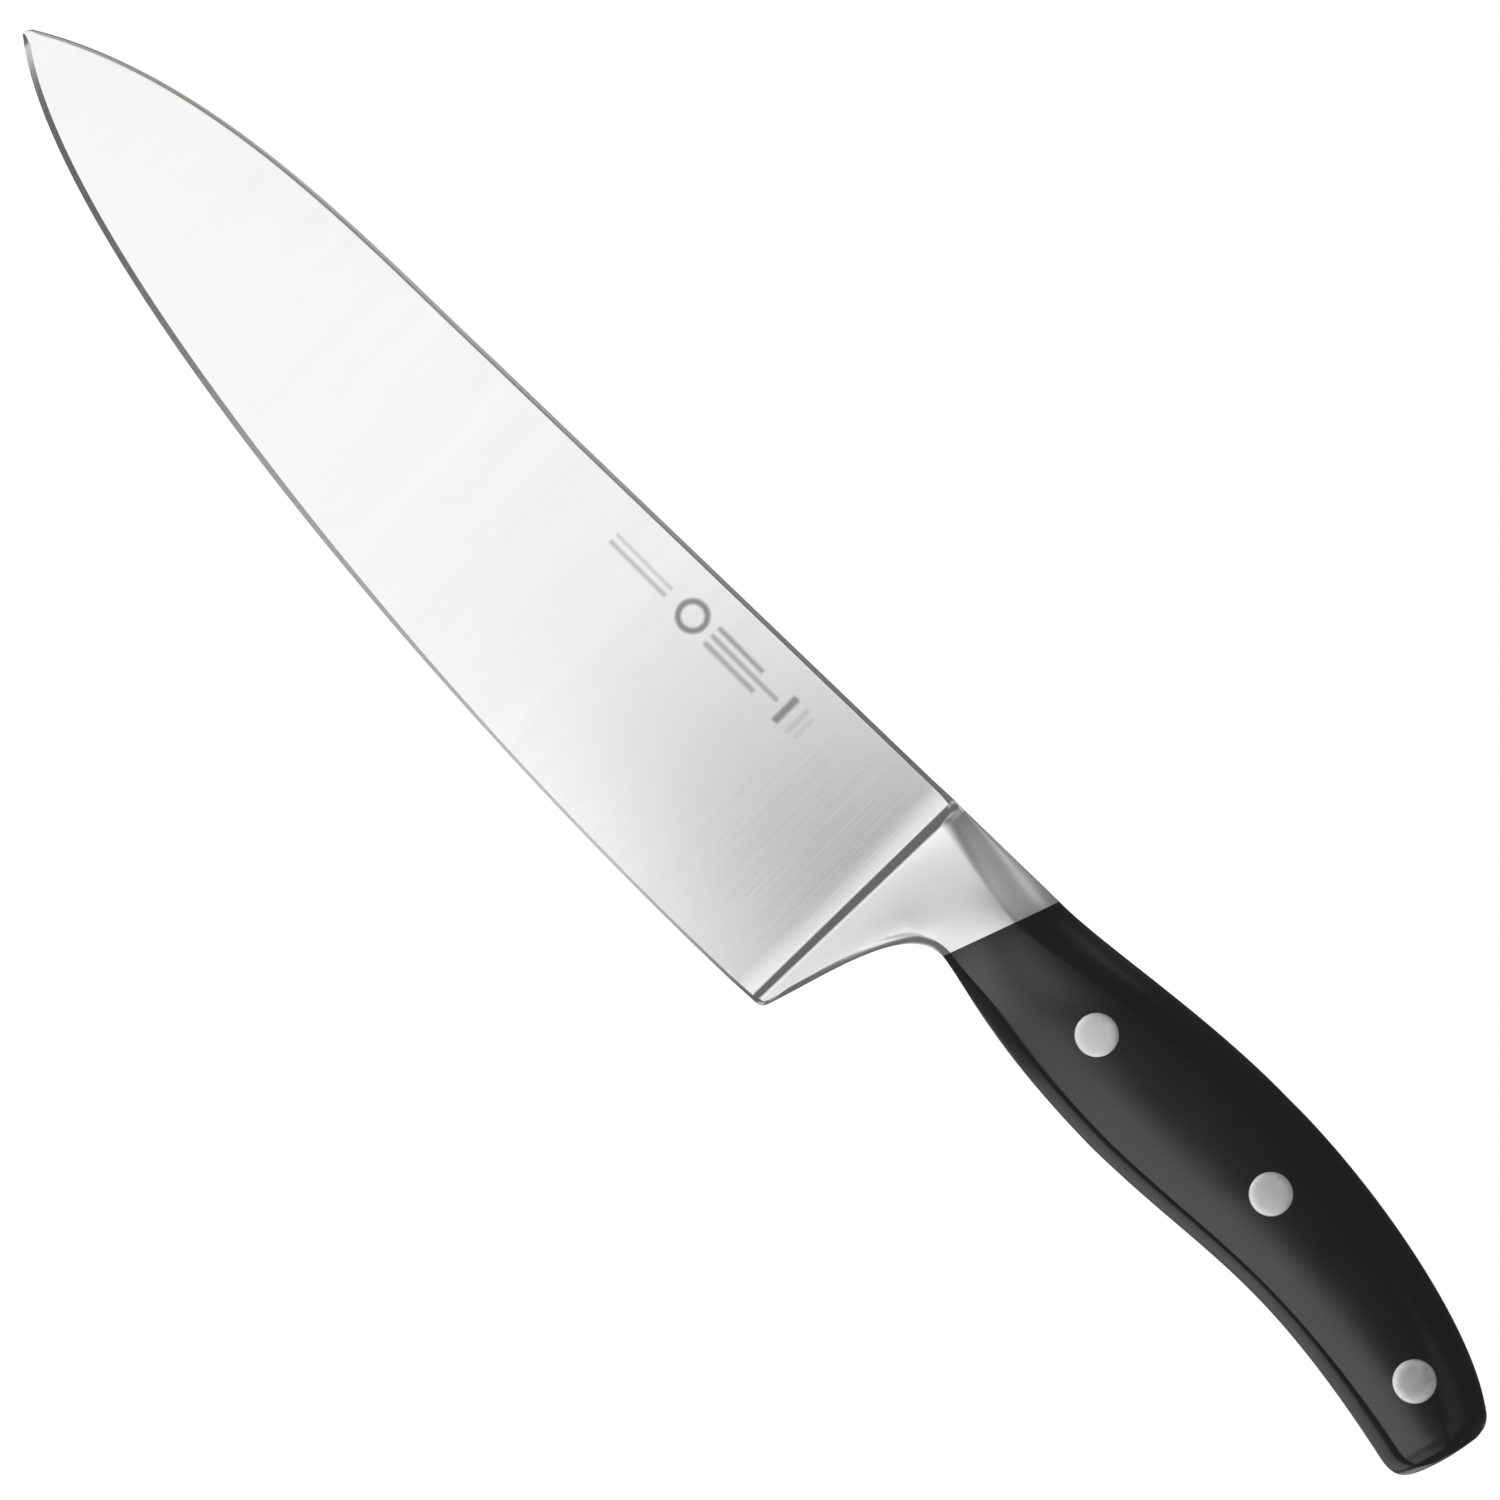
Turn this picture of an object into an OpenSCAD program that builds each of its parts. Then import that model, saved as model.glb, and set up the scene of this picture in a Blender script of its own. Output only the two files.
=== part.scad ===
// Forged chef knife with a full bolster, a full tang and a triple-riveted handle.
// Millimetres. X runs along the knife, with the tip towards -X and the butt towards +X.
// Y is the thickness. +Z is up: the cutting edge is at the bottom and the spine at the top.
// The origin is in the middle of the length, in the middle of the thickness, at the lowest point of the edge.

/* [Blade] */
// Length of the blade, from the tip to the front of the bolster
blade_l = 202; // [170:1:240]
// Height of the blade at the bolster, from the heel to the spine
blade_h = 48.4; // [44:0.2:52]
// Height of the tip above the board
tip_z = 29; // [24:0.5:34]
// Thickness of the spine at the bolster
spine_t = 2.8; // [2.2:0.1:3.6]
// Thickness just above the cutting bevel at the heel
edge_t = 0.5; // [0.3:0.05:0.7]
// Thickness at the tip
tip_t = 0.7; // [0.5:0.1:1.2]
// Growth in thickness from the tip towards the bolster, mm for each 100 mm
tip_taper = 2; // [1.6:0.1:2.6]
// Angle of the cutting bevel on each side
bevel_angle = 15; // [12:0.5:20]

/* [Bolster] */
// Length of the bolster along the spine
bolster_l = 24.8; // [20:0.2:30]
// How far the lower end of the joint with the handle lies in front of its upper end
joint_lean = 7.4; // [4:0.2:10]
// Height of the underside of the bolster above the board at the handle
choil_z = 28.5; // [26:0.5:31]
// Width of the bolster at the handle
bolster_w = 17; // [15:0.2:18]
// Width of the ridge at the front of the bolster, at the spine
ridge_w = 6.6; // [5.6:0.1:7.4]
// Width of the ridge at the heel
heel_w = 2.6; // [2.2:0.1:3.4]
// Length of the cove that rises from the blade to the ridge
cove_l = 2; // [1.4:0.1:2.4]

/* [Handle] */
// Length of the handle along its back, from the bolster to the butt
handle_l = 113.4; // [105:0.5:122]
// Width of the handle over both scales
handle_w = 18.4; // [17:0.2:20]
// Thickness of the tang
tang_t = 3; // [2.4:0.1:3.6]
// How much the sides of the handle are crowned
crown = 1.2; // [0.8:0.1:1.6]

/* [Rivets] */
// Diameter of a rivet head
head_d = 7.6; // [6.6:0.1:8]
// Thickness of a rivet head
head_t = 1.6; // [1.2:0.1:2]
// Outside diameter of the tubular shank
sleeve_d = 4.8; // [4.4:0.1:5.2]
// Diameter of the solid shank, pressed into the tubular one
pin_d = 3.2; // [2.8:0.1:3.4]

/* [Hidden] */
$fn = 64;
overall_l = blade_l + bolster_l + handle_l;
joint_x = blade_l + bolster_l;
half_tang = tang_t / 2;
// how far the spine rises over the bolster
spine_rise = 0.45;
joint_top = [joint_x, blade_h + spine_rise];
joint_low = [joint_x - joint_lean, choil_z];
// the ridge at the front of the bolster leans a little
ridge_low = [blade_l + 1, 0.7];
ridge_top = [blade_l + 2.1, blade_h + 0.04];
edge_segments = 18;
arc_steps = 5;
face_steps = 6;
// [height, width] of the corners of the cross-sections: on the ridge, at the joint and on the handle
ridge_corners = [[0.9, 1], [4.8, 1.35]];
joint_corners = [[1.3, 1.4], [8.5, 4.4]];
handle_low = [3.4, 4.1];
// how straight the corners are in height and in width, from 1 for a quarter of an ellipse to 2 for a flat
// bevel: on the rim under the bolster, along the underside of the handle and along the top
rim_bevel = [1.8, 1.8];
low_bevel = [1.35, 1.9];
high_bevel = [1.35, 1.35];

// the rivets stand in a row along the middle of the handle: [x behind the joint, z]
rivets = [
    [20.2, 37.4],
    [59.8, 39.2],
    [99.1, 34]
];

function mix(a, b, t) = a * (1 - t) + b * t;
function ease(t) = t * t * (3 - 2 * t);
function clamp(t) = max(0, min(1, t));

// points along a cubic curve, from its first control point to its last
function curve(p, n, first = 0) = [
    for (i = [first:n])
        let (t = i / n)
        p[0] * pow(1 - t, 3) + p[1] * 3 * t * pow(1 - t, 2) + p[2] * 3 * t * t * (1 - t) + p[3] * pow(t, 3)
];

// ---- outlines, seen from the side as [x, z], with x measured from the tip ----

// cutting edge, from the tip to the heel
edge_line = curve([
    [0.2, tip_z - 0.4],
    [blade_l * 0.137, tip_z * 0.22],
    [blade_l * 0.668, -2.2],
    [blade_l + 1, 0.6]
], edge_segments);

// spine, from the tip to the front of the bolster
spine_line = concat(
    [[0, tip_z], [0.15, tip_z + 0.6]],
    curve([
        [0.6, tip_z + 1.4],
        [blade_l * 0.14, blade_h - 1.2],
        [blade_l * 0.33, blade_h - 3.3],
        [blade_l * 0.47, blade_h - 2.3]
    ], 14),
    [[blade_l + 1, blade_h]]
);

// back of the handle and butt corner, from the joint to the middle of the butt
back_line = concat(
    curve([
        joint_top,
        joint_top + [10.5, -0.1],
        [joint_x + 31, blade_h + 4.7],
        [joint_x + 51, blade_h + 4.3]
    ], 8),
    curve([
        [joint_x + 51, blade_h + 4.3],
        [joint_x + 70.5, blade_h + 4.5],
        [overall_l - 15.5, blade_h - 0.5],
        [overall_l - 3.6, blade_h - 8.3]
    ], 9, 1),
    curve([
        [overall_l - 3.6, blade_h - 8.3],
        [overall_l - 1.1, blade_h - 9.9],
        [overall_l + 0.1, blade_h - 10.6],
        [overall_l, blade_h - 13.9]
    ], 5, 1)
);

// underside of the handle and butt corner, from the joint to the middle of the butt
belly_line = concat(
    curve([
        joint_low,
        joint_low + [6.3, -0.7],
        [joint_x + 8.3, choil_z - 4.8],
        [joint_x + 33.2, choil_z - 5.1]
    ], 8),
    curve([
        [joint_x + 33.2, choil_z - 5.1],
        [joint_x + 59.6, choil_z - 4.7],
        [joint_x + 67.7, choil_z + 0.2],
        [overall_l - 9.2, choil_z - 7.6]
    ], 9, 1),
    curve([
        [overall_l - 9.2, choil_z - 7.6],
        [overall_l - 4.3, choil_z - 8.8],
        [overall_l - 3, choil_z - 6.6],
        [overall_l - 1.3, choil_z - 0.5]
    ], 5, 1)
);

// underside of the bolster, from the heel to the joint
choil_steps = 12;
choil_line = concat(
    [ridge_low],
    curve([
        [blade_l + 2.4, 1.9],
        [blade_l + 6.2, 13.5],
        [blade_l + 9, choil_z + 0.1],
        joint_low
    ], choil_steps - 1)
);

// ---- cross-sections ----

// One side of a cross-section, from the bottom to the top, as [height, half width].
// h is its height, w0 and w1 the half width at the bottom and the top, bulge the crown,
// low and high the [height, width] of the lower and upper corners, low_turn how straight the lower one is.
function side_at(k, h, w0, w1, bulge) = mix(w0, w1, k / h) - bulge * pow(2 * k / h - 1, 2);
function corner(size, turn, i) =
    let (a = 90 * i / arc_steps)
    [size[0] * (1 - pow(cos(a), turn[0])), size[1] * (1 - pow(sin(a), turn[1]))];
function side(h, w0, w1, bulge, low, high, low_turn = rim_bevel) = concat(
    [
        for (i = [0:arc_steps])
            let (c = corner(low, low_turn, i))
            [c[0], side_at(low[0], h, w0, w1, bulge) - c[1]]
    ],
    [
        for (i = [1:face_steps - 1])
            let (k = mix(low[0], h - high[0], i / face_steps))
            [k, side_at(k, h, w0, w1, bulge)]
    ],
    [
        for (i = [0:arc_steps])
            let (c = corner(high, high_bevel, arc_steps - i))
            [h - c[0], side_at(h - high[0], h, w0, w1, bulge) - c[1]]
    ]
);

// a cross-section standing on the line from p to q, given as [height, half width] points
function ring(p, q, points) = [
    for (c = points)
        let (d = (q - p) / norm(q - p), at = p + d * c[0])
        [at[0], c[1], at[1]]
];
function other_side(points) = [for (i = [len(points) - 1:-1:0]) [points[i][0], -points[i][1]]];

// a closed skin over a row of cross-sections, which all have as many points
module skin(rings) {
    m = len(rings[0]);
    n = len(rings);
    walls = [
        for (i = [0:n - 2])
            for (j = [0:m - 1])
                [i * m + j, (i + 1) * m + j, (i + 1) * m + (j + 1) % m, i * m + (j + 1) % m]
    ];
    ends = [
        [for (j = [0:m - 1]) j],
        [for (j = [m - 1:-1:0]) (n - 1) * m + j]
    ];
    polyhedron(points = [for (r = rings) each r], faces = concat(walls, ends), convexity = 6);
}

// ---- forging ----

// Everything on the far side of the plane y = a + b x + c z is cut away, and the same on the other side.
module grind(a, b, c) {
    turn = atan(b);
    tilt = atan(c * cos(turn));
    for (flip = [0, 1])
        mirror([0, flip, 0])
            translate([0, a, 0])
                rotate([0, 0, turn])
                    rotate([-tilt, 0, 0])
                        translate([-60, 0, -60])
                            cube([400, 20, 180]);
}

// slopes of the main grind, in half thickness for each mm
grind_x = 0.0012;
grind_z = (spine_t - edge_t) / 2 / blade_h;
grind_y = edge_t / 2 - grind_x * blade_l;

module cutting_bevels() {
    for (i = [0:edge_segments - 1])
        let (run = edge_line[i + 1] - edge_line[i])
            for (flip = [0, 1])
                mirror([0, flip, 0])
                    translate([edge_line[i][0], 0, edge_line[i][1]])
                        rotate([0, -atan2(run[1], run[0]), 0])
                            rotate([-bevel_angle, 0, 0])
                                translate([-4, 0, -8])
                                    cube([norm(run) + 8, 6, 20]);
}

module blade() {
    difference() {
        rotate([90, 0, 0])
            linear_extrude(height = 6, center = true)
                polygon(concat(
                    spine_line,
                    [for (i = [edge_segments:-1:1]) edge_line[i] - [0, 1]],
                    [[0, tip_z - 1.2]]
                ));
        grind(grind_y, grind_x, grind_z);
        grind(tip_t / 2, tip_taper / 200, 0);
        cutting_bevels();
    }
}

// how far the bolster has widened, from the ridge (0) to the handle (1)
function flare(t) = mix(t, ease(t), 0.35);

// half the bolster's width at x, z, which depends on how far x is from the ridge to the joint
function bolster_half(x, z) =
    let (
        up = (z - ridge_low[1]) / (ridge_top[1] - ridge_low[1]),
        ridge_x = mix(ridge_low[0], ridge_top[0], up),
        joint_up = max(0, (z - joint_low[1]) / (joint_top[1] - joint_low[1])),
        joint_at = mix(joint_low[0], joint_top[0], joint_up)
    )
    mix(mix(heel_w, ridge_w, up), bolster_w, flare((x - ridge_x) / (joint_at - ridge_x))) / 2;

// how much longer the rim's corner is along the section than straight in from the choil
function rim_stretch(i, low, top) =
    let (
        run = choil_line[min(i + 1, choil_steps)] - choil_line[max(i - 1, 0)],
        rise = top - low
    )
    norm(run) * norm(rise) / max(0.1, run[0] * rise[1] - run[1] * rise[0]);

// the bolster flares from a ridge on the blade to the width of the handle
function bolster_ring(i) =
    let (
        t = i / choil_steps,
        low = choil_line[i],
        top = mix(ridge_top, joint_top, t),
        h = norm(top - low),
        rim = mix(ridge_corners[0], joint_corners[0], t),
        reach = min(rim[0] * rim_stretch(i, low, top), h / 4),
        high = mix(ridge_corners[1], joint_corners[1], t),
        cuts = side(h, 0, 0, crown * flare(t), [reach, rim[1]], high),
        points = [
            for (c = cuts)
                let (at = mix(low, top, c[0] / h))
                [c[0], bolster_half(at[0], at[1]) + c[1]]
        ]
    )
    ring(low, top, concat(points, other_side(points)));

// the cove that rises from the blade to the ridge, and begins inside the blade
function cove_ring(t) =
    let (
        low = mix([ridge_low[0] - cove_l, 2.2], ridge_low, t),
        top = mix([ridge_top[0] - cove_l, blade_h - 0.5], ridge_top, t),
        h = norm(top - low),
        rise = 1 - cos(90 * t),
        points = side(
            h,
            mix(0.12, heel_w / 2, rise),
            mix(spine_t / 2 - 0.3, ridge_w / 2, rise),
            0.03 * (1 - t),
            mix([0.5, 0.06], ridge_corners[0], t),
            mix([0.6, 0.4], ridge_corners[1], t)
        )
    )
    ring(low, top, concat(points, other_side(points)));

module bolster() {
    skin(concat(
        [for (t = [0, 0.4, 0.7]) cove_ring(t)],
        [for (i = [0:choil_steps]) bolster_ring(i)]
    ));
}

module tang() {
    rotate([90, 0, 0])
        linear_extrude(height = tang_t, center = true)
            polygon(concat(
                back_line,
                [for (i = [len(belly_line) - 1:-1:0]) belly_line[i]],
                [joint_low + [-1, 2.6], joint_top - [2.2, 3]]
            ));
}

module rivet_bores(d) {
    for (r = rivets)
        translate([joint_x + r[0], 0, r[1]])
            rotate([90, 0, 0])
                cylinder(d = d, h = 30, center = true);
}

module forged_blade() {
    color([0.78, 0.78, 0.77])
        difference() {
            union() {
                blade();
                bolster();
                tang();
            }
            rivet_bores(sleeve_d);
        }
}

// ---- scales ----

stations = len(back_line);
corner_stations = 5;
// the handle swells behind the bolster and keeps its full width from the first rivet on
swell_l = rivets[0][0] - head_d / 2 + joint_lean / 2;
function swell(i) =
    let (x = (back_line[i][0] + belly_line[i][0]) / 2)
    ease(clamp((x - joint_x + joint_lean / 2) / swell_l));
function handle_half(i) =
    let (end = max(0, i - (stations - 1 - corner_stations)) / corner_stations)
    mix(bolster_w, handle_w, swell(i)) / 2 - 2.6 * (1 - cos(90 * end));

function scale_ring(i) =
    let (
        h = norm(back_line[i] - belly_line[i]),
        k = min(1, h / 15),
        low = mix(joint_corners[0], handle_low, swell(i)) * k,
        turn = mix(rim_bevel, low_bevel, swell(i)),
        points = side(h, handle_half(i), handle_half(i), crown, low, joint_corners[1] * k, turn)
    )
    ring(belly_line[i], back_line[i], concat([[0, half_tang]], points, [[h, half_tang]]));

module scale_body() {
    skin([for (i = [0:stations - 1]) scale_ring(i)]);
}

module bored_scale() {
    difference() {
        scale_body();
        rivet_bores(sleeve_d);
        for (r = rivets)
            translate([joint_x + r[0], handle_w / 2 - head_t, r[1]])
                rotate([-90, 0, 0])
                    cylinder(d = head_d, h = 6);
    }
}

module left_scale() {
    color([0.07, 0.07, 0.07])
        mirror([0, 1, 0])
            bored_scale();
}

module right_scale() {
    color([0.07, 0.07, 0.07])
        bored_scale();
}

// ---- rivets ----

seat = handle_w / 2 - head_t;
sleeve_l = 2 * seat - 1;
pin_l = sleeve_l - 1.4;

// the tubular half, with its head in the left side of the handle
module rivet_sleeve(r) {
    color([0.74, 0.73, 0.71])
        translate([joint_x + r[0], 0, r[1]])
            rotate([90, 0, 0])
                difference() {
                    union() {
                        translate([0, 0, seat])
                            cylinder(d = head_d, h = head_t);
                        translate([0, 0, seat - sleeve_l])
                            cylinder(d = sleeve_d, h = sleeve_l + 0.5);
                    }
                    translate([0, 0, seat - sleeve_l - 1])
                        cylinder(d = pin_d, h = sleeve_l);
                }
}

// the solid half, with its head in the right side of the handle
module rivet_pin(r) {
    color([0.74, 0.73, 0.71])
        translate([joint_x + r[0], 0, r[1]])
            rotate([-90, 0, 0])
                union() {
                    translate([0, 0, seat])
                        cylinder(d = head_d, h = head_t);
                    translate([0, 0, seat - pin_l])
                        cylinder(d = pin_d, h = pin_l + 0.5);
                }
}

module front_rivet_sleeve() {
    rivet_sleeve(rivets[0]);
}

module front_rivet_pin() {
    rivet_pin(rivets[0]);
}

module middle_rivet_sleeve() {
    rivet_sleeve(rivets[1]);
}

module middle_rivet_pin() {
    rivet_pin(rivets[1]);
}

module rear_rivet_sleeve() {
    rivet_sleeve(rivets[2]);
}

module rear_rivet_pin() {
    rivet_pin(rivets[2]);
}

translate([-overall_l / 2, 0, 0]) {
    forged_blade();
    left_scale();
    right_scale();
    front_rivet_sleeve();
    front_rivet_pin();
    middle_rivet_sleeve();
    middle_rivet_pin();
    rear_rivet_sleeve();
    rear_rivet_pin();
}
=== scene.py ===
"""Looks of the chef knife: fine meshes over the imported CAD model, materials, lights and camera."""

import math

import bmesh
import bpy
from mathutils import Matrix, Vector
from mathutils.bvhtree import BVHTree


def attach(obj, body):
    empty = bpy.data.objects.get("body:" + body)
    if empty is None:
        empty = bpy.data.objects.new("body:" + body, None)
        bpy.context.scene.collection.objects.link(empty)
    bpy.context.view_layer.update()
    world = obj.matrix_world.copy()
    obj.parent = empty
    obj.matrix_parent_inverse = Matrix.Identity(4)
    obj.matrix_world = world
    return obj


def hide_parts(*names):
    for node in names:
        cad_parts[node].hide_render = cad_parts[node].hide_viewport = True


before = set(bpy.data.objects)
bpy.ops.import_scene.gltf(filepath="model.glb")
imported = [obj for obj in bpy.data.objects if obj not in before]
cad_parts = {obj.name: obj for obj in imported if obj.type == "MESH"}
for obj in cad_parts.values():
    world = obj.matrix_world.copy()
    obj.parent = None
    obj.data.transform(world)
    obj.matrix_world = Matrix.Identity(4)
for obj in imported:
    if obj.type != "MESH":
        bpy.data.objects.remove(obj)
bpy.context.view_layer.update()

MM = 0.001
# sizes in mm, as in part.scad, with x measured from the tip
BLADE_L, BLADE_H, TIP_Z = 202.0, 48.4, 29.0
SPINE_T, EDGE_T, TIP_T, TIP_TAPER = 2.8, 0.5, 0.7, 2.0
BOLSTER_L, BOLSTER_W, RIDGE_W, HEEL_W = 24.8, 17.0, 6.6, 2.6
JOINT_LEAN, CHOIL_Z, SPINE_RISE = 7.4, 28.5, 0.45
HANDLE_L, HANDLE_W, TANG_T, CROWN = 113.4, 18.4, 3.0, 1.2
HEAD_D, HEAD_T, SLEEVE_D, PIN_D = 7.6, 1.6, 4.8, 3.2
HEAD_R = HEAD_D / 2
OVERALL = BLADE_L + BOLSTER_L + HANDLE_L
JOINT_X = BLADE_L + BOLSTER_L
JOINT_TOP = (JOINT_X, BLADE_H + SPINE_RISE)
JOINT_LOW = (JOINT_X - JOINT_LEAN, CHOIL_Z)
RIDGE_LOW = (BLADE_L + 1.0, 0.7)
RIDGE_TOP = (BLADE_L + 2.1, BLADE_H + 0.04)
RIVETS = {"front": (20.2, 37.4), "middle": (59.8, 39.2), "rear": (99.1, 34.0)}
# (height, width) of the lower and the upper corner of a cross-section
RIDGE_CORNERS = ((0.9, 1.0), (4.8, 1.35))
JOINT_CORNERS = ((1.3, 1.4), (8.5, 4.4))
HANDLE_LOW = (3.4, 4.1)
# how the corners turn: (exponent of the height, exponent of the width)
RIM_BEVEL, LOW_BEVEL, HIGH_BEVEL = (1.8, 1.8), (1.35, 1.9), (1.35, 1.35)


def mix(a, b, t):
    return a * (1 - t) + b * t


def mix2(a, b, t):
    return tuple(mix(p, q, t) for p, q in zip(a, b))


def clamp(t):
    return max(0.0, min(1.0, t))


def ease(t):
    t = clamp(t)
    return t * t * (3 - 2 * t)


def curve(p, n, first=0):
    """Points along a cubic curve, from its first control point to its last."""
    out = []
    for i in range(first, n + 1):
        t = i / n
        w = ((1 - t) ** 3, 3 * t * (1 - t) ** 2, 3 * t * t * (1 - t), t**3)
        out.append(tuple(sum(w[k] * p[k][a] for k in range(4)) for a in range(2)))
    return out


def at(x, y, z):
    """A point of the drawing, in mm from the tip, as a place in the frame, in metres."""
    return Vector(((x - OVERALL / 2) * MM, y * MM, z * MM))


# ---- outlines, (x, z) in mm ----
# the edge and the spine of the blade run from the tip to the ridge, and the others from front to rear
edge_line = curve(
    [(0.2, TIP_Z - 0.4), (BLADE_L * 0.137, TIP_Z * 0.22), (BLADE_L * 0.668, -2.2), (BLADE_L + 1, 0.6)],
    400,
)
spine_line = (
    [(0, TIP_Z), (0.06, TIP_Z + 0.35), (0.22, TIP_Z + 0.8)]
    + curve(
        [
            (0.6, TIP_Z + 1.4),
            (BLADE_L * 0.14, BLADE_H - 1.2),
            (BLADE_L * 0.33, BLADE_H - 3.3),
            (BLADE_L * 0.47, BLADE_H - 2.3),
        ],
        200,
    )
    + [(BLADE_L + 1, BLADE_H)]
)
hump = (JOINT_X + 51, BLADE_H + 4.3)
back_corner = (OVERALL - 3.6, BLADE_H - 8.3)
dip = (JOINT_X + 33.2, CHOIL_Z - 5.1)
belly_corner = (OVERALL - 9.2, CHOIL_Z - 7.6)
back_curves = [
    [JOINT_TOP, (JOINT_X + 10.5, JOINT_TOP[1] - 0.1), (JOINT_X + 31, BLADE_H + 4.7), hump],
    [hump, (JOINT_X + 70.5, BLADE_H + 4.5), (OVERALL - 15.5, BLADE_H - 0.5), back_corner],
    [
        back_corner,
        (OVERALL - 1.1, BLADE_H - 9.9),
        (OVERALL + 0.1, BLADE_H - 10.6),
        (OVERALL, BLADE_H - 13.9),
    ],
]
belly_curves = [
    [JOINT_LOW, (JOINT_LOW[0] + 6.3, JOINT_LOW[1] - 0.7), (JOINT_X + 8.3, CHOIL_Z - 4.8), dip],
    [dip, (JOINT_X + 59.6, CHOIL_Z - 4.7), (JOINT_X + 67.7, CHOIL_Z + 0.2), belly_corner],
    [
        belly_corner,
        (OVERALL - 4.3, CHOIL_Z - 8.8),
        (OVERALL - 3, CHOIL_Z - 6.6),
        (OVERALL - 1.3, CHOIL_Z - 0.5),
    ],
]
# steps along the three curves of the back and of the belly: front, rear and butt corner
STEPS = (40, 45, 20)


def joined(curves):
    """One outline from curves that go on from each other."""
    return sum((curve(c, n, min(i, 1)) for i, (c, n) in enumerate(zip(curves, STEPS))), [])


back_line = joined(back_curves)
belly_line = joined(belly_curves)
HEEL_STEPS, CHOIL_STEPS = 10, 56
heel_turn = (BLADE_L + 2.6, 2.5)
heel_curve = [RIDGE_LOW, (BLADE_L + 1.7, 0.72), (BLADE_L + 2.2, 1.2), heel_turn]
rear_curve = [heel_turn, (BLADE_L + 6.2, 13.5), (BLADE_L + 9, CHOIL_Z + 0.1), JOINT_LOW]
choil_line = curve(heel_curve, HEEL_STEPS) + curve(rear_curve, CHOIL_STEPS - HEEL_STEPS, 1)


def height_on(line, x):
    """The z of an outline at x."""
    for (x0, z0), (x1, z1) in zip(line, line[1:]):
        if x0 <= x <= x1 and x1 > x0:
            return mix(z0, z1, (x - x0) / (x1 - x0))
    return line[0][1] if x < line[0][0] else line[-1][1]


# ---- cross-sections ----
# One side of a section has ARC + FACE + ARC steps, as (height, half width) from the bottom up.
ARC, FACE = 12, 20
SIDE = 2 * ARC + FACE + 1


def closer(i):
    """Steps up a face that lie closer together near its corners."""
    return (1 - math.cos(math.pi * i / FACE)) / 2


def corner(size, turn, i):
    """Step i round a corner: how far along the height and how far in from the width it is."""
    a = math.radians(90 * i / ARC)
    return size[0] * (1 - math.cos(a) ** turn[0]), size[1] * (1 - math.sin(a) ** turn[1])


def side(h, w0, w1, bulge, low, high, low_turn=RIM_BEVEL):
    """One side of a section of height h. w0 and w1 are its half widths at the bottom and the top, bulge is
    its crown, low and high are its corners and low_turn is how the lower one turns."""

    def w(k):
        return mix(w0, w1, k / h) - bulge * (2 * k / h - 1) ** 2

    out = []
    for i in range(ARC + 1):
        c = corner(low, low_turn, i)
        out.append((c[0], w(low[0]) - c[1]))
    for i in range(1, FACE):
        k = mix(low[0], h - high[0], closer(i))
        out.append((k, w(k)))
    for i in range(ARC + 1):
        c = corner(high, HIGH_BEVEL, ARC - i)
        out.append((h - c[0], w(h - high[0]) - c[1]))
    return out


def ring(p, q, points, sign=1):
    """A cross-section standing on the line from p to q, on the right side, or the left with sign -1."""
    h = math.dist(p, q)
    d = ((q[0] - p[0]) / h, (q[1] - p[1]) / h)
    return [at(p[0] + d[0] * k, sign * y, p[1] + d[1] * k) for k, y in points]


def both_sides(points):
    """The right side of a section from the bottom up, and then the left side from the top down."""
    return points + [(k, -y) for k, y in reversed(points)]


# ---- meshes ----
SHARP_ANGLE = 35  # degrees between faces, above which an edge is crisp
SAME_POINT = 1e-8  # metres within which two points are merged
UV_SCALE = 3  # the map "along" only gives the direction of the grain, so any scale does


def new_object(name, bm, materials, nodes, sharp_angle=SHARP_ANGLE):
    """A finished piece of the knife, in place of CAD nodes."""
    bmesh.ops.remove_doubles(bm, verts=bm.verts, dist=SAME_POINT)
    bmesh.ops.recalc_face_normals(bm, faces=bm.faces)
    for f in bm.faces:
        f.smooth = True
    for e in bm.edges:
        if e.calc_face_angle(0) > math.radians(sharp_angle):
            e.smooth = False
    mesh = bpy.data.meshes.new(name)
    bm.to_mesh(mesh)
    bm.free()
    obj = bpy.data.objects.new(name, mesh)
    bpy.context.scene.collection.objects.link(obj)
    for mat in materials:
        mesh.materials.append(mat)
    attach(obj, "root")
    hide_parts(*nodes)
    return obj


def skin(rings, crisp=None, material=None):
    """A closed skin over rings of equally many points. crisp(i, j) says whether the edge from point j of
    ring i to ring i + 1 stays crisp, and material(i) gives the material index of that stretch."""
    bm = bmesh.new()
    rows = [[bm.verts.new(p) for p in r] for r in rings]
    m = len(rings[0])
    layer = bm.loops.layers.uv.new("along")
    for i, (a, b) in enumerate(zip(rows, rows[1:])):
        for j in range(m):
            k = (j + 1) % m
            face = bm.faces.new((a[j], b[j], b[k], a[k]))
            if material:
                face.material_index = material(i)
            if crisp and crisp(i, j):
                bm.edges.get((a[j], b[j])).smooth = False
    bm.faces.new(rows[0])
    last = bm.faces.new(rows[-1])
    if material:
        last.material_index = material(len(rows) - 2)
    for face in bm.faces:
        for loop in face.loops:
            loop[layer].uv = (loop.vert.co.x * UV_SCALE, loop.vert.co.z * UV_SCALE)
    return bm


# ---- materials ----
# the colour sockets of a Mix node
MIX_A, MIX_B, MIX_RESULT = 6, 7, 2


def nodes_of(name):
    """A new material, its node tree and its shader."""
    mat = bpy.data.materials.new(name)
    mat.use_nodes = True
    tree = mat.node_tree
    return mat, tree, tree.nodes["Principled BSDF"]


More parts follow.
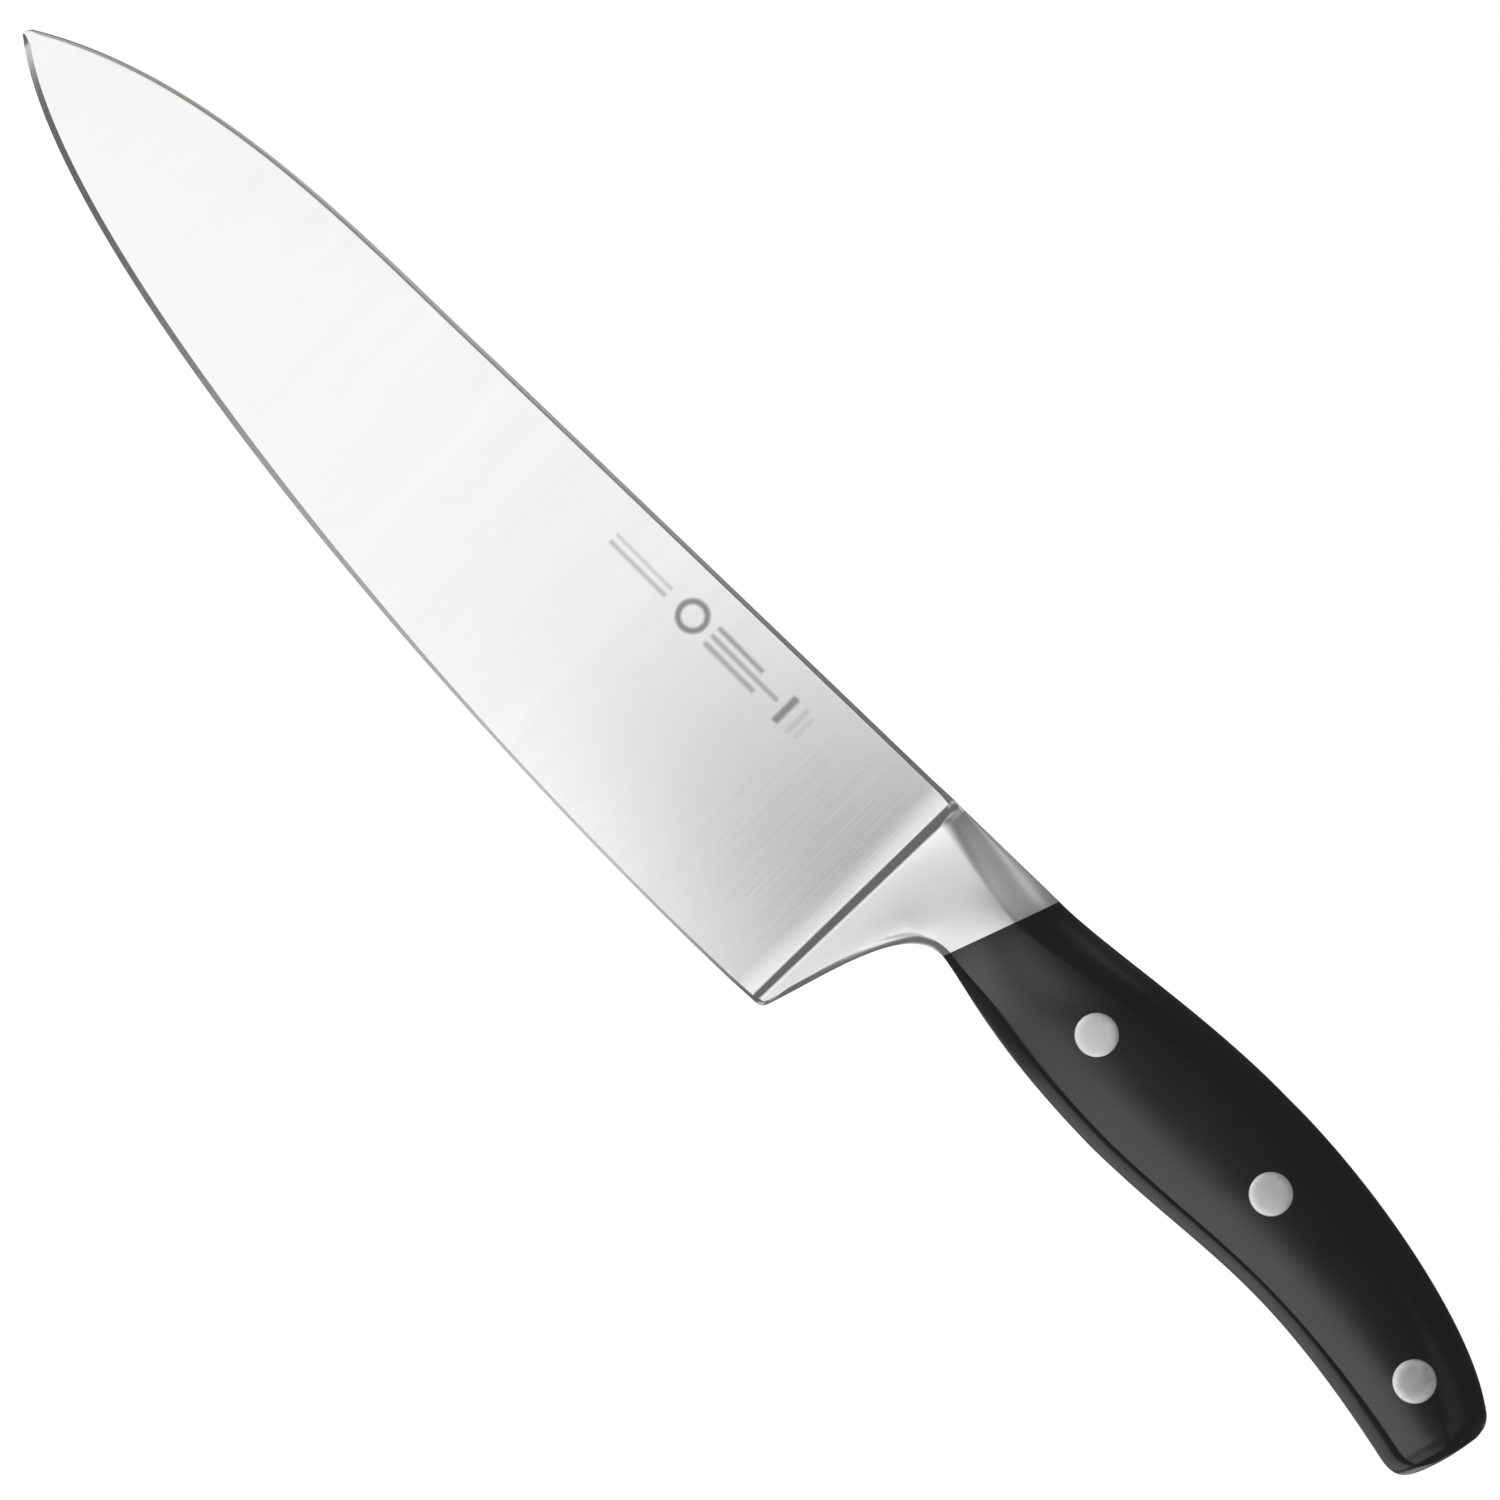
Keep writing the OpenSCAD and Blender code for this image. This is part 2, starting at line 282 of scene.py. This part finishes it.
def add(tree, kind, inputs=None, **props):
    """A new node. inputs are links or values for its sockets, and props are its settings."""
    node = tree.nodes.new(kind)
    for k, v in props.items():
        setattr(node, k, v)
    for k, v in (inputs or {}).items():
        if isinstance(v, bpy.types.NodeSocket):
            tree.links.new(v, node.inputs[k])
        else:
            node.inputs[k].default_value = v
    return node


def stretched(tree, scale, detail=3.0, rough=0.5):
    """Noise on the object's own coordinates, stretched by a scale for each axis (cycles per metre)."""
    co = add(tree, "ShaderNodeTexCoord").outputs["Object"]
    m = add(tree, "ShaderNodeMapping", {"Vector": co, "Scale": scale}).outputs[0]
    settings = {"Vector": m, "Scale": 1.0, "Detail": detail, "Roughness": rough}
    return add(tree, "ShaderNodeTexNoise", settings).outputs["Fac"]


def spread(tree, value, lo, hi, a=0.3, b=0.7):
    """The value, taken from the range a to b to the range lo to hi."""
    settings = {"Value": value, "From Min": a, "From Max": b, "To Min": lo, "To Max": hi}
    return add(tree, "ShaderNodeMapRange", settings).outputs[0]


def blend(tree, factor, first, second):
    """A colour between two, which are given as numbers or as links."""
    node = add(tree, "ShaderNodeMix", {"Factor": factor}, data_type="RGBA")
    for socket, color in ((MIX_A, first), (MIX_B, second)):
        if isinstance(color, bpy.types.NodeSocket):
            tree.links.new(color, node.inputs[socket])
        else:
            node.inputs[socket].default_value = (*color, 1)
    return node.outputs[MIX_RESULT]


def math_node(tree, operation, *values):
    """The result of one arithmetic step on links and numbers."""
    return add(tree, "ShaderNodeMath", dict(enumerate(values)), operation=operation).outputs[0]


def bumped(tree, bsdf, height, strength, depth):
    """Fine relief on the shader's surface, depth in metres."""
    node = add(tree, "ShaderNodeBump", {"Strength": strength, "Distance": depth, "Height": height})
    tree.links.new(node.outputs[0], bsdf.inputs["Normal"])


# the broad lines of the satin: how many there are for each fine one, and how much they change the roughness
BROAD, BROAD_ROUGH = 0.06, 0.012


def satin_steel(name, color, rough, streak, aniso, bump, contrast, grain, etch=None):
    """Satin-ground steel with fine grinding lines. streak is how many there are in a metre along each axis,
    contrast and grain are how much they change the colour and the roughness, and bump is how deep they
    look. etch(tree) gives where a mark darkens the steel."""
    mat, tree, bsdf = nodes_of(name)
    bsdf.inputs["Metallic"].default_value = 1.0
    bsdf.inputs["Anisotropic"].default_value = aniso
    tangent = add(tree, "ShaderNodeTangent", direction_type="UV_MAP", uv_map="along").outputs[0]
    tree.links.new(tangent, bsdf.inputs["Tangent"])
    fine = stretched(tree, streak, 4.0, 0.65)
    broad = stretched(tree, tuple(s * BROAD for s in streak), 2.0)
    dark = [c * (1 - contrast) for c in color]
    tone = blend(tree, spread(tree, fine, 0, 1, 0.25, 0.75), dark, color)
    fine_rough = spread(tree, fine, -grain, grain)
    broad_rough = spread(tree, broad, rough - BROAD_ROUGH, rough + BROAD_ROUGH)
    polish = math_node(tree, "ADD", fine_rough, broad_rough)
    if etch:
        mark = etch(tree)
        tone = blend(tree, mark, tone, ETCH_COLOR)
        polish = math_node(tree, "ADD", polish, math_node(tree, "MULTIPLY", mark, ETCH_ROUGH))
    tree.links.new(tone, bsdf.inputs["Base Color"])
    tree.links.new(polish, bsdf.inputs["Roughness"])
    bumped(tree, bsdf, fine, bump, 0.00002)
    return mat


# a plain etched mark on the left side: its colour, and the roughness that it adds
ETCH_COLOR, ETCH_ROUGH = (0.1, 0.1, 0.098), 0.2
# (x0, x1, z0, z1, strength) of its bars, in mm
ETCH_BARS = [
    (130.4, 143.6, 39.6, 40.2, 0.25),
    (130.4, 143.6, 38.0, 38.7, 0.35),
    (153.7, 164.3, 40.5, 41.3, 0.5),
    (153.7, 169.4, 38.8, 39.6, 0.42),
    (153.7, 165.5, 37.0, 37.9, 0.42),
    (170.8, 172.1, 36.3, 41.9, 0.62),
    (173.7, 174.7, 36.4, 41.8, 0.16),
    (175.4, 176.2, 36.8, 41.4, 0.13),
]
# (x, z, radius, half width, strength) of its ring, and half the width of the soft borders
ETCH_RING = (149.2, 39.2, 2.5, 0.5, 0.66)
ETCH_SOFT = 0.3


def etched_mark(tree):
    """A mask of a ring and some bars, on the left side of the blade."""
    place = add(tree, "ShaderNodeTexCoord").outputs["Object"]
    co = add(tree, "ShaderNodeSeparateXYZ", {0: place})
    x, y, z = (math_node(tree, "DIVIDE", co.outputs[a], MM) for a in "XYZ")
    left = math_node(tree, "LESS_THAN", y, 0.0)

    def inside(distance, reach):
        return spread(tree, distance, 1.0, 0.0, reach - ETCH_SOFT, reach + ETCH_SOFT)

    def away(value, centre):
        return math_node(tree, "ABSOLUTE", math_node(tree, "SUBTRACT", value, centre))

    total = 0.0
    for x0, x1, z0, z1, strength in ETCH_BARS:
        across = inside(away(x, (x0 + x1) / 2 - OVERALL / 2), (x1 - x0) / 2)
        up = inside(away(z, (z0 + z1) / 2), (z1 - z0) / 2)
        bar = math_node(tree, "MULTIPLY", math_node(tree, "MULTIPLY", across, up), strength)
        total = math_node(tree, "MAXIMUM", total, bar)
    rx, rz, radius, half, strength = ETCH_RING
    dx = math_node(tree, "SUBTRACT", x, rx - OVERALL / 2)
    dz = math_node(tree, "SUBTRACT", z, rz)
    squares = math_node(tree, "ADD", *(math_node(tree, "MULTIPLY", d, d) for d in (dx, dz)))
    ring_mask = inside(away(math_node(tree, "SQRT", squares), radius), half)
    total = math_node(tree, "MAXIMUM", total, math_node(tree, "MULTIPLY", ring_mask, strength))
    return math_node(tree, "MULTIPLY", total, left)


def black_plastic(name):
    """Moulded black plastic with a soft sheen, slightly cloudy and finely grained."""
    mat, tree, bsdf = nodes_of(name)
    cloud = stretched(tree, (60, 60, 60), 3.0)
    grain = stretched(tree, (2500, 2500, 2500), 2.0)
    tone = blend(tree, cloud, (0.0035, 0.0035, 0.0032), (0.0055, 0.0055, 0.005))
    tree.links.new(tone, bsdf.inputs["Base Color"])
    tree.links.new(spread(tree, cloud, 0.18, 0.22), bsdf.inputs["Roughness"])
    bsdf.inputs["Specular IOR Level"].default_value = 0.95
    bumped(tree, bsdf, grain, 0.12, 0.00003)
    return mat


# the colour of the rivet heads for a level of 1
RIVET_TINT = (1, 0.99, 0.975)


def rivet_metal_painted_light(name, centre, lit_edge):
    """Ground rivet heads, mottled. The colour level in the middle is painted shade and the brighter one at
    the edge a painted highlight.
    """
    mat, tree, bsdf = nodes_of(name)
    bsdf.inputs["Metallic"].default_value = 1.0
    mottle = stretched(tree, (700, 700, 700), 4.0, 0.6)
    uv = add(tree, "ShaderNodeUVMap", uv_map="along").outputs[0]
    radius = add(tree, "ShaderNodeVectorMath", {0: uv}, operation="LENGTH").outputs["Value"]
    wander = math_node(tree, "ADD", radius, spread(tree, mottle, -0.5, 0.5))
    # where the painted highlight of the edge takes over from the painted shade of the middle
    outer = spread(tree, wander, 0, 1, HEAD_R * 0.55, HEAD_R * 0.9)
    shades = []
    for level in (centre, lit_edge):
        dark, light = ([level * k * c for c in RIVET_TINT] for k in (0.93, 1.05))
        shades.append(blend(tree, mottle, dark, light))
    tree.links.new(blend(tree, outer, *shades), bsdf.inputs["Base Color"])
    tree.links.new(spread(tree, mottle, 0.36, 0.46), bsdf.inputs["Roughness"])
    bumped(tree, bsdf, mottle, 0.25, 0.00003)
    return mat


blade_mat = satin_steel(
    "blade_satin",
    color=(0.86, 0.855, 0.84),
    rough=0.2,
    streak=(3000, 200, 40),
    aniso=0.3,
    bump=0.1,
    contrast=0.04,
    grain=0.03,
    etch=etched_mark,
)
bolster_mat = satin_steel(
    "bolster_satin",
    color=(0.92, 0.915, 0.90),
    rough=0.25,
    streak=(60, 200, 1500),
    aniso=0.3,
    bump=0.03,
    contrast=0.015,
    grain=0.012,
)
tang_mat = satin_steel(
    "tang_satin",
    color=(0.78, 0.775, 0.76),
    rough=0.3,
    streak=(100, 3000, 100),
    aniso=0.2,
    bump=0.15,
    contrast=0.05,
    grain=0.04,
)
plastic = black_plastic("black_pom")
# the middle of each head is darkened by its own amount as painted shade, most on the rear rivet; the edges
# share one painted highlight level
rivet_mats = {
    "front": rivet_metal_painted_light("front_rivet_steel", 0.98, 0.99),
    "middle": rivet_metal_painted_light("middle_rivet_steel", 0.93, 0.99),
    "rear": rivet_metal_painted_light("rear_rivet_steel", 0.74, 0.99),
}

# ---- forging: blade, cove, bolster and tang in one skin ----
GRIND_X, GRIND_Z = 0.0012, (SPINE_T - EDGE_T) / 2 / BLADE_H
GRIND_Y = EDGE_T / 2 - GRIND_X * BLADE_L
GRIND_SOFT = 0.04  # how softly the grind of the tip meets the main one
# height of the cutting bevel near the tip and near the heel, and the two x between which it changes
BEVEL_TIP, BEVEL_HEEL = 1.05, 0.55
BEVEL_FROM, BEVEL_TO = 60, 160
SPINE_ROUND = 0.9
COVE_X = BLADE_L - 4.4
BLADE_STEPS, COVE_STEPS = 150, 48
# the cove's slight flare takes this part of its length and rises by this part of its height
FLARE_END, FLARE_RISE = 0.66, 0.09


def half_thick(x, z):
    """Half the thickness of the blade at x, z, where two grinds meet softly."""
    main = GRIND_Y + GRIND_X * x + GRIND_Z * z
    tip = TIP_T / 2 + TIP_TAPER / 200 * x
    return (main + tip - math.hypot(main - tip, GRIND_SOFT)) / 2


def bevel_height(x):
    """How far the cutting bevel reaches up the blade: further towards the tip, where it is ground more."""
    step = 0.5
    slope = (height_on(edge_line, x + step) - height_on(edge_line, x)) / step
    t = ease((x - BEVEL_FROM) / (BEVEL_TO - BEVEL_FROM))
    return mix(BEVEL_TIP, BEVEL_HEEL, t) * math.hypot(1, slope)


def blade_points(x):
    """One side of the blade's section at x: cutting bevel, ground face and rounded spine."""
    lo, hi = height_on(edge_line, x), height_on(spine_line, x)
    h = hi - lo
    bevel = min(bevel_height(x), h * 0.3)
    r = min(SPINE_ROUND, h * 0.2)
    deep = half_thick(x, hi) * 0.75
    pts = [(bevel * i / ARC, half_thick(x, lo + bevel) * i / ARC) for i in range(ARC + 1)]
    for i in range(1, FACE):
        k = mix(bevel, h - r, closer(i))
        pts.append((k, half_thick(x, lo + k)))
    for i in range(ARC + 1):
        a = math.radians(90 * i / ARC)
        pts.append((h - r + r * math.sin(a), half_thick(x, hi - r) - deep * (1 - math.cos(a))))
    return pts


def blade_ends(x):
    """The blade's edge and spine at x."""
    return (x, height_on(edge_line, x)), (x, height_on(spine_line, x))


ridge_points = side(math.dist(RIDGE_LOW, RIDGE_TOP), HEEL_W / 2, RIDGE_W / 2, 0.0, *RIDGE_CORNERS)


def cove_rise(u):
    """A slight flare, which turns smoothly into the steep side of the ridge."""
    if u < FLARE_END:
        return FLARE_RISE * (u / FLARE_END) ** 2
    v = (u - FLARE_END) / (1 - FLARE_END)
    slope = 2 * FLARE_RISE / FLARE_END * (1 - FLARE_END) / (1 - FLARE_RISE)
    return mix(FLARE_RISE, 1, ease(v) + slope * v * (1 - v) ** 2)


def cove_ring(u):
    """The section at u, from the blade (0) to the ridge (1)."""
    p, q = blade_ends(COVE_X)
    s = cove_rise(u)
    points = [mix2(a, b, s) for a, b in zip(blade_points(COVE_X), ridge_points)]
    return ring(mix2(p, RIDGE_LOW, u), mix2(q, RIDGE_TOP, u), both_sides(points))


def rim_stretch(i, low, top):
    """How much longer the rim's corner is along the section than straight in from the choil."""
    a, b = choil_line[i - 1], choil_line[min(i + 1, CHOIL_STEPS)]
    cross = (b[0] - a[0]) * (top[1] - low[1]) - (b[1] - a[1]) * (top[0] - low[0])
    return math.dist(a, b) * math.dist(low, top) / cross


def flare(t):
    """How far the bolster has widened, from the ridge (0) to the handle (1)."""
    return mix(t, ease(t), 0.35)


def bolster_half(x, z):
    """Half the bolster's width at x, z, which depends on how far x is from the ridge to the joint."""
    up = (z - RIDGE_LOW[1]) / (RIDGE_TOP[1] - RIDGE_LOW[1])
    ridge_x = mix(RIDGE_LOW[0], RIDGE_TOP[0], up)
    joint_up = max(0, (z - JOINT_LOW[1]) / (JOINT_TOP[1] - JOINT_LOW[1]))
    joint_x = mix(JOINT_LOW[0], JOINT_TOP[0], joint_up)
    back = flare((x - ridge_x) / (joint_x - ridge_x))
    return mix(mix(HEEL_W, RIDGE_W, up), BOLSTER_W, back) / 2


def bolster_ring(i):
    """The section that stands on point i of the choil."""
    t = i / CHOIL_STEPS
    low = choil_line[i]
    top = mix2(RIDGE_TOP, JOINT_TOP, t)
    h = math.dist(low, top)
    rim = mix2(RIDGE_CORNERS[0], JOINT_CORNERS[0], t)
    rim = (min(rim[0] * rim_stretch(i, low, top), h * 0.25), rim[1])
    cuts = side(h, 0, 0, CROWN * flare(t), rim, mix2(RIDGE_CORNERS[1], JOINT_CORNERS[1], t))
    points = [(k, bolster_half(*mix2(low, top, k / h)) + cut) for k, cut in cuts]
    return ring(low, top, both_sides(points))


def tang_ring(p, q):
    """The flat tang from the belly at p to the back at q, with its edges just broken."""
    c = (0.06, 0.06)
    return ring(p, q, both_sides(side(math.dist(p, q), TANG_T / 2, TANG_T / 2, 0.0, c, c)))


def blade_x(i):
    """Sections that lie closer together near the tip. The first is not quite at the tip."""
    t = i / BLADE_STEPS
    return COVE_X * t**1.7 + 0.02 * (1 - t)


xs = [blade_x(i) for i in range(BLADE_STEPS + 1)]
rings = [ring(*blade_ends(x), both_sides(blade_points(x))) for x in xs]
rings += [cove_ring(i / COVE_STEPS) for i in range(1, COVE_STEPS + 1)]
ridge_at = len(rings) - 1
rings += [bolster_ring(i) for i in range(1, CHOIL_STEPS + 1)]
joint_at = len(rings) - 1
rings += [tang_ring(p, q) for p, q in zip(belly_line, back_line)]


def on_bevel(i, j):
    """Where the cutting bevel meets the face of the blade, on either side."""
    return i < BLADE_STEPS and j in (ARC, 2 * SIDE - 1 - ARC)


def finish_of(i):
    """Blade and cove, bolster, or tang."""
    return 0 if i < ridge_at else 1 if i < joint_at else 2


forging = skin(rings, on_bevel, finish_of)
new_object("forging", forging, [blade_mat, bolster_mat, tang_mat], ["forged_blade"])

# ---- scales ----
CORNER = STEPS[2]
SWELL_L = RIVETS["front"][0] - HEAD_R + JOINT_LEAN / 2
BUTT_ROUND = 2.6  # how much narrower each side of the handle is at the end of the butt
FULL_CORNER_H = 15  # sections lower than this have smaller corners


def scale_rings(sign):
    """The sections of a scale, from the bolster to the butt."""
    out = []
    for i, (p, q) in enumerate(zip(belly_line, back_line)):
        h = math.dist(p, q)
        swell = ease(((p[0] + q[0]) / 2 - JOINT_X + JOINT_LEAN / 2) / SWELL_L)
        end = max(0, i - (len(back_line) - 1 - CORNER)) / CORNER
        rounded = BUTT_ROUND * (1 - math.cos(math.radians(90 * end)))
        half = mix(BOLSTER_W, HANDLE_W, swell) / 2 - rounded
        k = min(1, h / FULL_CORNER_H)
        high = tuple(v * k for v in JOINT_CORNERS[1])
        low = tuple(v * k for v in mix2(JOINT_CORNERS[0], HANDLE_LOW, swell))
        points = side(h, half, half, CROWN, low, high, mix2(RIM_BEVEL, LOW_BEVEL, swell))
        out.append(ring(p, q, [(0, TANG_T / 2)] + points + [(h, TANG_T / 2)], sign))
    return out


def cut_with(obj, cutter):
    """Cuts a mesh out of obj for good, and removes the cutter."""
    mod = obj.modifiers.new("cut", "BOOLEAN")
    mod.operation = "DIFFERENCE"
    mod.solver = "EXACT"
    mod.object = cutter
    bpy.context.view_layer.update()
    done = bpy.data.meshes.new_from_object(obj.evaluated_get(bpy.context.evaluated_depsgraph_get()))
    obj.modifiers.remove(mod)
    old = obj.data
    obj.data = done
    bpy.data.meshes.remove(old)
    bpy.data.objects.remove(cutter)


def lathe(profile, x, z, sign, cap=(), surface=None, segments=96):
    """A closed turned mesh about the Y line through x, z. profile is [(radius, y), ...] in mm, and cap goes
    on from it with [(radius, lift), ...] over the surface, a function of x and z."""
    bm = bmesh.new()
    layer = bm.loops.layers.uv.new("along")
    rows = []
    for n, (r, y) in enumerate([*profile, *cap]):
        row = []
        for i in range(segments if r else 1):
            a = 2 * math.pi * i / segments
            px, pz = x + r * math.cos(a), z + r * math.sin(a)
            far = y if n < len(profile) else surface(px, pz) + y
            row.append(bm.verts.new(at(px, sign * far, pz)))
        rows.append(row)
    for a, b in zip(rows, rows[1:]):
        for j in range(segments):
            k = (j + 1) % segments
            if len(a) == 1:
                bm.faces.new((a[0], b[j], b[k]))
            elif len(b) == 1:
                bm.faces.new((a[j], a[k], b[0]))
            else:
                bm.faces.new((a[j], b[j], b[k], a[k]))
    centre = at(x, 0, z)
    for face in bm.faces:
        for loop in face.loops:
            d = (loop.vert.co - centre) / MM
            loop[layer].uv = (d.x, d.z)
    return bm


SEAT = HANDLE_W / 2 - HEAD_T
GAP = 0.03  # between a rivet and its hole


def surface_of(obj, sign):
    """The half width of the handle at a place on its side."""
    tree = BVHTree.FromObject(obj, bpy.context.evaluated_depsgraph_get())
    outside = 30

    def find(x, z):
        hit = tree.ray_cast(at(x, sign * outside, z), Vector((0, -sign, 0)))[0]
        return abs(hit.y) / MM

    return find


# the stepped hole of a rivet, which reaches past the scale at both ends
inner, outer = SLEEVE_D / 2 + GAP, HEAD_R + GAP
hole = [(0, -2), (inner, -2), (inner, SEAT), (outer, SEAT), (outer, 12), (0, 12)]
surfaces = {}
for name, sign in (("left_scale", -1), ("right_scale", 1)):
    obj = new_object(name + "_pom", skin(scale_rings(sign)), [plastic], [name])
    bpy.context.view_layer.update()
    surfaces[sign] = surface_of(obj, sign)
    for r in RIVETS.values():
        bm = lathe(hole, JOINT_X + r[0], r[1], sign)
        bmesh.ops.recalc_face_normals(bm, faces=bm.faces)
        mesh = bpy.data.meshes.new("cut")
        bm.to_mesh(mesh)
        bm.free()
        cutter = bpy.data.objects.new("cut", mesh)
        bpy.context.scene.collection.objects.link(cutter)
        cut_with(obj, cutter)
    obj.data.set_sharp_from_angle(angle=math.radians(SHARP_ANGLE))

# ---- rivets ----
SLEEVE_L = 2 * SEAT - 1
PIN_L = SLEEVE_L - 1.4
BORE = PIN_D / 2
HEAD_ANGLE = 30
# a head from its edge to its middle: (part of the radius, lift over the surface of the handle)
DOME = [(1, -0.16), (0.985, -0.12), (0.95, -0.075), (0.9, -0.035), (0.84, -0.008), (0.76, 0.012)]
DOME += [(k, 0.02) for k in (0.66, 0.5, 0.3, 0.15, 0)]
cap = [(HEAD_R * k, lift) for k, lift in DOME]
sleeve_end, pin_end = SEAT - SLEEVE_L, SEAT - PIN_L
tube = SLEEVE_D / 2
sleeve = [(0, SEAT - 1), (BORE, SEAT - 1), (BORE, sleeve_end), (tube, sleeve_end), (tube, SEAT)]
pin = [(0, pin_end), (BORE - 0.3, pin_end), (BORE, pin_end + 0.3), (BORE, SEAT)]
for name, r in RIVETS.items():
    for half, profile, sign in (("sleeve", sleeve, -1), ("pin", pin, 1)):
        bm = lathe(profile + [(HEAD_R, SEAT)], JOINT_X + r[0], r[1], sign, cap, surfaces[sign])
        node = f"{name}_rivet_{half}"
        new_object(f"{name}_{half}", bm, [rivet_mats[name]], [node], HEAD_ANGLE)

# ---- stage, lights and camera ----
FLOOR_SIZE, FLOOR_Z = 80, -0.0001


def pale_floor():
    """A pale floor that the knife stands on. The knife's metal doesn't mirror it."""
    bpy.ops.mesh.primitive_plane_add(size=FLOOR_SIZE, location=(0, 0, FLOOR_Z))
    obj = bpy.context.object
    obj.name = "floor"
    mat, tree, bsdf = nodes_of("floor")
    bsdf.inputs["Base Color"].default_value = (0.5, 0.5, 0.5, 1)
    bsdf.inputs["Roughness"].default_value = 0.9
    bsdf.inputs["Specular IOR Level"].default_value = 0.0
    bsdf.inputs["Emission Color"].default_value = (1, 1, 1, 1)
    bsdf.inputs["Emission Strength"].default_value = 1.0
    obj.data.materials.append(mat)
    obj.visible_glossy = False
    obj.visible_shadow = False
    obj.visible_diffuse = False


pale_floor()


def panel(name, width, height, radiance):
    """A rectangular light, which the camera doesn't see directly."""
    data = bpy.data.lights.new(name, "AREA")
    data.shape = "RECTANGLE"
    data.size, data.size_y = width, height
    data.energy = radiance * math.pi * width * height
    obj = bpy.data.objects.new(name, data)
    bpy.context.scene.collection.objects.link(obj)
    obj.visible_camera = False
    return obj


def softbox(name, x0, x1, z0, z1, y, radiance):
    """A panel that stands in the plane y and faces the knife."""
    obj = panel(name, x1 - x0, z1 - z0, radiance)
    obj.location = ((x0 + x1) / 2, y, (z0 + z1) / 2)
    obj.rotation_euler = Vector((0, -y, 0)).to_track_quat("-Z", "Y").to_euler()


def lay_softbox(name, x0, x1, y0, y1, z, radiance):
    """A panel that lies in the plane z and faces up or down to the knife."""
    obj = panel(name, x1 - x0, y1 - y0, radiance)
    obj.location = ((x0 + x1) / 2, (y0 + y1) / 2, z)
    obj.rotation_euler = (math.pi if z < 0 else 0, 0, 0)


# (name, x0, x1, z0, z1, distance, radiance) of the lights in front, in metres, which the back has too
SIDE_LIGHTS = [
    ("blade_wall", -0.45, 0.05, -0.40, 0.15, 1.2, 0.43),
    ("blade_key_long", -0.40, 0.005, -0.16, 0.135, 0.35, 0.3),
    ("blade_key_short", -0.40, -0.025, -0.16, 0.135, 0.36, 0.3),
    ("heel_strip", -0.03, 0.05, -0.12, -0.013, 0.34, 0.6),
    ("spine_strip", -0.03, 0.05, 0.031, 0.10, 0.34, 0.35),
    ("edge_fill", -0.15, 0.04, -0.42, -0.17, 0.35, 0.28),
    ("heel_fill", -0.05, 0.04, -0.42, -0.17, 0.34, 0.35),
    ("bolster_top", -0.40, -0.045, 0.22, 1.3, 0.35, 0.17),
    ("handle_key", 0.072, 0.26, -0.30, 0.0, 0.35, 0.95),
    ("low_left", -0.62, -0.30, -0.36, -0.08, 0.5, 0.7),
    ("low_right", 0.34, 0.75, -0.36, -0.08, 0.5, 0.6),
    ("high_left", -0.75, -0.30, 0.15, 0.5, 0.5, 0.25),
    ("high_right", 0.30, 0.75, 0.15, 0.5, 0.5, 0.12),
]
for name, x0, x1, z0, z1, far, radiance in SIDE_LIGHTS:
    for place, sign in (("front", -1), ("back", 1)):
        softbox(f"{place}_{name}", x0, x1, z0, z1, far * sign, radiance)

lay_softbox("under_light", 0.04, 0.54, 0.05, 0.45, -0.5, 0.5)
lay_softbox("spine_light", -0.5, -0.06, -0.4, 0.4, 0.8, 0.3)

# the camera sees a white room, and everything else is lit by a dim one
world = bpy.data.worlds.new("studio")
bpy.context.scene.world = world
world.use_nodes = True
wt = world.node_tree
wt.nodes.clear()
path = add(wt, "ShaderNodeLightPath")
seen = add(wt, "ShaderNodeBackground", {"Color": (1, 1, 1, 1), "Strength": 1.0}).outputs[0]
room = add(wt, "ShaderNodeBackground", {"Color": (1, 0.99, 0.965, 1), "Strength": 0.15}).outputs[0]
either = add(wt, "ShaderNodeMixShader", {0: path.outputs["Is Camera Ray"], 1: room, 2: seen}).outputs[0]
add(wt, "ShaderNodeOutputWorld", {"Surface": either})

cam_data = bpy.data.cameras.new("camera")
cam = bpy.data.objects.new("camera", cam_data)
bpy.context.scene.collection.objects.link(cam)
bpy.context.scene.camera = cam
cam_data.lens = 400
cam_data.sensor_width = 36
cam_data.clip_start, cam_data.clip_end = 0.05, 100
# the frame is IMAGE_PX pixels wide, each PX_MM of the knife, with view_centre in its middle
IMAGE_PX, PX_MM = 1500, 0.1685
view_centre = at(171.98, 0, 30.08)
distance = IMAGE_PX * PX_MM * MM * cam_data.lens / cam_data.sensor_width
cam.location = view_centre - Vector((0, distance, 0))
# turned by 45 degrees, so that the knife lies across the frame with its tip at the upper left
right, up, back = Vector((1, 0, 1)).normalized(), Vector((-1, 0, 1)).normalized(), Vector((0, -1, 0))
cam.rotation_euler = Matrix((right, up, back)).transposed().to_euler()

scene = bpy.context.scene
scene.view_settings.view_transform = "Standard"
scene.view_settings.look = "None"
